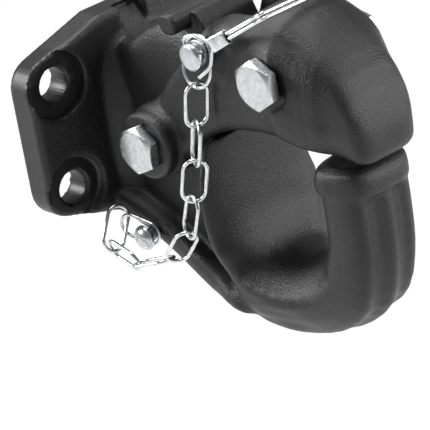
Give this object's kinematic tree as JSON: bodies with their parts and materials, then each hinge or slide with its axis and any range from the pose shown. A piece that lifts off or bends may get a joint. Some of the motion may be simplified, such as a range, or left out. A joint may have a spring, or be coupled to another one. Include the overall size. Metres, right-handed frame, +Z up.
{
  "type": "rigid-mount pintle hook",
  "caption": "Cast pintle hook on a bolt-on plate, with a hinged latch, a sprung lock lever, a lock pin with a wire bail and a retaining chain.",
  "frame": {"origin": "centre of the bolt pattern, on the mounting plate's rear face", "axes": "+X forward, away from the vehicle, +Z up, Y across"},
  "size_m": [0.1508, 0.114, 0.145],
  "materials": {
    "satin_black_casting": "satin black paint over a rough casting",
    "zinc_plate": "bright zinc plate",
    "bright_wire": "bright zinc plated wire",
    "spring_steel": "oiled spring wire"
  },
  "bodies": {
    "root": {"hook_body": "satin_black_casting", "latch_pivot_bolt": "zinc_plate", "latch_pivot_nut": "zinc_plate", "chain_bolt": "zinc_plate", "chain_link_6": "bright_wire", "chain_link_7": "bright_wire", "chain_link_8": "bright_wire", "chain_link_9": "bright_wire"},
    "latch": {"latch": "satin_black_casting", "lock_pivot_bolt": "zinc_plate", "lock_pivot_nut": "zinc_plate", "lock_spring": "spring_steel"},
    "lock_lever": {"lock_lever": "satin_black_casting"},
    "lock_pin": {"lock_pin": "zinc_plate"},
    "pin_wire": {"pin_wire": "bright_wire", "wire_ferrule": "bright_wire"},
    "chain_run": {"chain_ring": "bright_wire", "chain_link_1": "bright_wire", "chain_link_2": "bright_wire", "chain_link_3": "bright_wire", "chain_link_4": "bright_wire", "chain_link_5": "bright_wire"}
  },
  "joints": [
    {"name": "latch_hinge", "type": "hinge", "parent": "root", "child": "latch", "pos_m": [0.0467, 0, -0.0019], "axis": [0, -1, 0], "range_deg": [0, 42]},
    {"name": "lock_hinge", "type": "hinge", "parent": "latch", "child": "lock_lever", "pos_m": [0.1134, 0, 0.0346], "axis": [0, 1, 0], "range_deg": [0, 10], "stiffness_Nm_per_rad": 0.4, "springref_deg": -28.65},
    {"name": "pin_slide", "type": "slide", "parent": "latch", "child": "lock_pin", "axis": [0, -1, 0], "range_m": [0, 0.056]},
    {"name": "wire_hinge", "type": "hinge", "parent": "lock_pin", "child": "pin_wire", "pos_m": [0.0845, -0.03206, 0.0425], "axis": [0.5219, 0, -0.853], "range_deg": [0, 120]},
    {"name": "chain_hinge", "type": "hinge", "parent": "lock_pin", "child": "chain_run", "pos_m": [0.0845, -0.0271, 0.0425], "axis": [0, -1, 0], "range_deg": [0, 18]}
  ]
}
